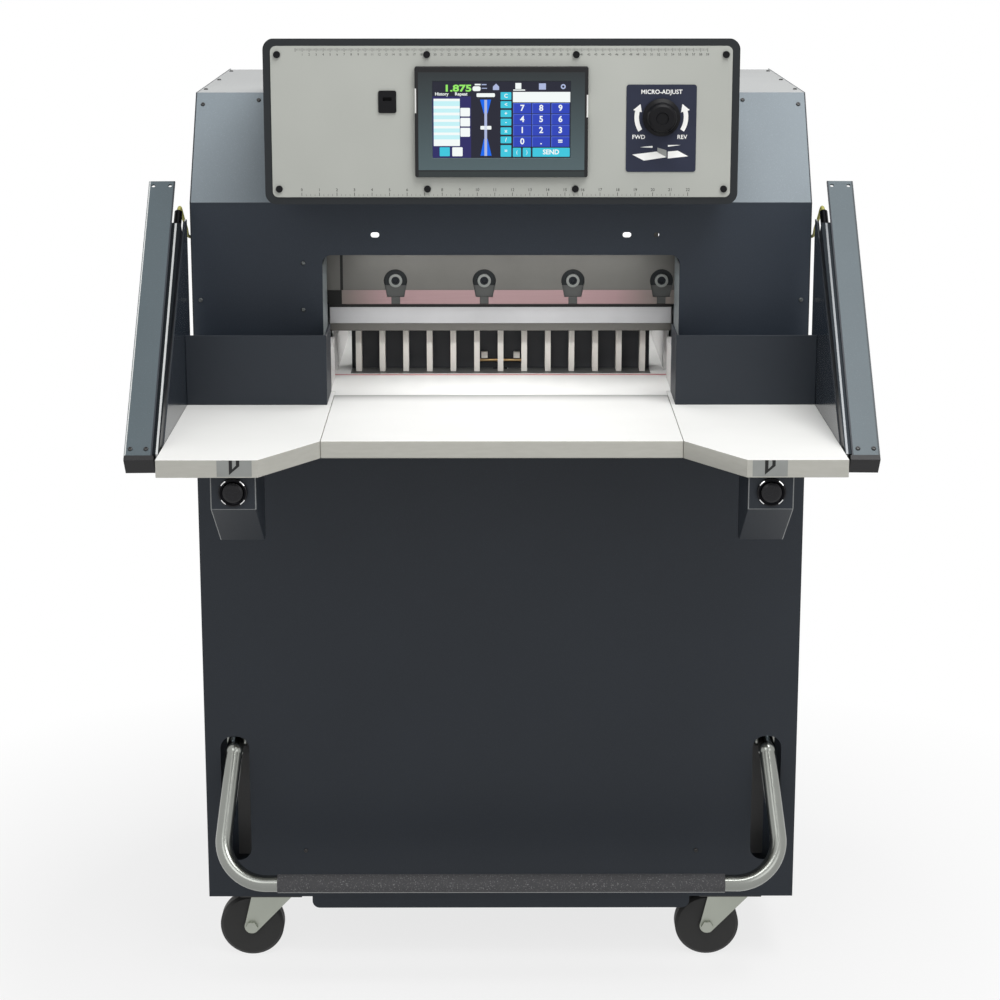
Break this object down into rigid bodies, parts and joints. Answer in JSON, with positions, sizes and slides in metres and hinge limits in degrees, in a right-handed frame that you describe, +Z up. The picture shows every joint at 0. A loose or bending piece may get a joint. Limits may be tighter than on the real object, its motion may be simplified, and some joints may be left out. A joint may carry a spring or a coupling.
{
  "type": "paper cutter",
  "caption": "Floor-standing hydraulic paper cutter on casters: cabinet, head with knife and clamp window, front tables, control box, light columns and foot bar.",
  "frame": {"origin": "on the floor, at the middle of the bounding box in width and depth", "axes": "+X to the operator's right, -Y towards the operator, +Z up"},
  "size_m": [1.0558, 1.134, 1.498],
  "materials": {
    "dark_paint": "dark blue-grey powder coat",
    "light_panel": "light warm-grey printed plate",
    "white_table": "white laminate over steel plate",
    "steel": "ground steel",
    "blade_steel": "ground and honed steel",
    "zinc": "satin zinc plate",
    "iron": "painted casting",
    "black_plastic": "moulded black plastic",
    "gloss_black": "smooth black plastic",
    "glass": "lit display glass",
    "lamp": "lit white diffuser",
    "red_plastic": "cutting stick plastic",
    "olive_plastic": "cable sheath",
    "chrome": "polished ring",
    "brass": "turned brass",
    "foam": "foam sleeve",
    "tyre": "black caster wheel",
    "motor_blue": "motor paint",
    "dial_navy": "printed overlay"
  },
  "bodies": {
    "machine": {"base_frame": "dark_paint", "base_apron": "dark_paint", "cabinet_front": "dark_paint", "side_covers": "dark_paint", "rear_cover": "dark_paint", "head_front_cover": "dark_paint", "top_cover": "dark_paint", "side_frames": "iron", "crosshead": "iron", "guide_studs": "steel", "lamps": "lamp", "bed": "steel", "cutting_stick": "red_plastic", "front_table": "white_table", "side_tables": "white_table", "table_brackets": "dark_paint", "guards": "dark_paint", "side_lays": "steel", "control_box": "dark_paint", "control_panel": "light_panel", "panel_screws": "black_plastic", "screen_bezel": "black_plastic", "screen_glass": "glass", "dial_plate": "dial_navy", "data_socket": "black_plastic", "columns": "dark_paint", "light_bars": "zinc", "side_plates": "dark_paint", "sensor_cables": "olive_plastic", "button_boxes": "dark_paint", "button_bezels": "chrome", "knife_cylinder": "iron", "clamp_cylinders": "iron", "gauge_drive": "iron", "oil_tank": "iron", "pump_motor": "motor_blue", "power_inlet": "black_plastic", "foot_bearings": "iron", "caster_plates": "zinc", "rear_forks": "zinc"},
    "knife": {"knife_beam": "steel", "knife": "blade_steel", "knife_screws": "steel", "knife_rod": "steel"},
    "clamp": {"clamp_beam": "steel", "clamp_rods": "steel"},
    "gauge": {"back_gauge": "steel", "gauge_pin": "brass"},
    "screw": {"lead_screw": "steel"},
    "foot_pedal": {"foot_bar": "zinc", "foot_grip": "foam"},
    "left_button": {"left_cut_button": "gloss_black"},
    "right_button": {"right_cut_button": "gloss_black"},
    "knob": {"micro_knob": "gloss_black"},
    "left_swivel": {"left_fork": "zinc"},
    "right_swivel": {"right_fork": "zinc"},
    "front_left_roller": {"front_left_wheel": "tyre"},
    "front_right_roller": {"front_right_wheel": "tyre"},
    "rear_left_roller": {"rear_left_wheel": "tyre"},
    "rear_right_roller": {"rear_right_wheel": "tyre"}
  },
  "joints": [
    {"name": "knife_slide", "type": "slide", "parent": "machine", "child": "knife", "axis": [-0.3637, 0, -0.9315], "range_m": [0, 0.1209]},
    {"name": "clamp_slide", "type": "slide", "parent": "machine", "child": "clamp", "axis": [0, 0, -1], "range_m": [0, 0.0697]},
    {"name": "gauge_slide", "type": "slide", "parent": "machine", "child": "gauge", "axis": [0, 1, 0], "range_m": [-0.008, 0.385]},
    {"name": "screw_spin", "type": "hinge", "parent": "machine", "child": "screw", "pos_m": [0, 0.3, 0.875], "axis": [0, 1, 0], "range_deg": [-300, 13900]},
    {"name": "foot_press", "type": "hinge", "parent": "machine", "child": "foot_pedal", "pos_m": [0, -0.038, 0.375], "axis": [1, 0, 0], "range_deg": [0, 15], "stiffness_Nm_per_rad": 20, "springref_deg": -28.65},
    {"name": "left_press", "type": "slide", "parent": "machine", "child": "left_button", "axis": [0, 1, 0], "range_m": [0, 0.005], "stiffness_N_per_m": 800, "springref_m": -0.003},
    {"name": "right_press", "type": "slide", "parent": "machine", "child": "right_button", "axis": [0, 1, 0], "range_m": [0, 0.005], "stiffness_N_per_m": 800, "springref_m": -0.003},
    {"name": "knob_turn", "type": "hinge", "parent": "machine", "child": "knob", "pos_m": [0.23, -0.262, 1.3865], "axis": [0, -1, 0], "continuous": true},
    {"name": "left_swivel_turn", "type": "hinge", "parent": "machine", "child": "left_swivel", "pos_m": [-0.373, -0.038, 0.11], "axis": [0, 0, 1], "continuous": true},
    {"name": "right_swivel_turn", "type": "hinge", "parent": "machine", "child": "right_swivel", "pos_m": [0.373, -0.038, 0.11], "axis": [0, 0, 1], "continuous": true},
    {"name": "front_left_roll", "type": "hinge", "parent": "left_swivel", "child": "front_left_roller", "pos_m": [-0.408, -0.038, 0.052], "axis": [0, 1, 0], "continuous": true},
    {"name": "front_right_roll", "type": "hinge", "parent": "right_swivel", "child": "front_right_roller", "pos_m": [0.338, -0.038, 0.052], "axis": [0, 1, 0], "continuous": true},
    {"name": "rear_left_roll", "type": "hinge", "parent": "machine", "child": "rear_left_roller", "pos_m": [-0.402, 0.5, 0.052], "axis": [1, 0, 0], "continuous": true},
    {"name": "rear_right_roll", "type": "hinge", "parent": "machine", "child": "rear_right_roller", "pos_m": [0.402, 0.5, 0.052], "axis": [1, 0, 0], "continuous": true}
  ],
  "couplings": [
    {"joint": "screw_spin", "follows": "gauge_slide", "rad_per_m": 628.32}
  ]
}
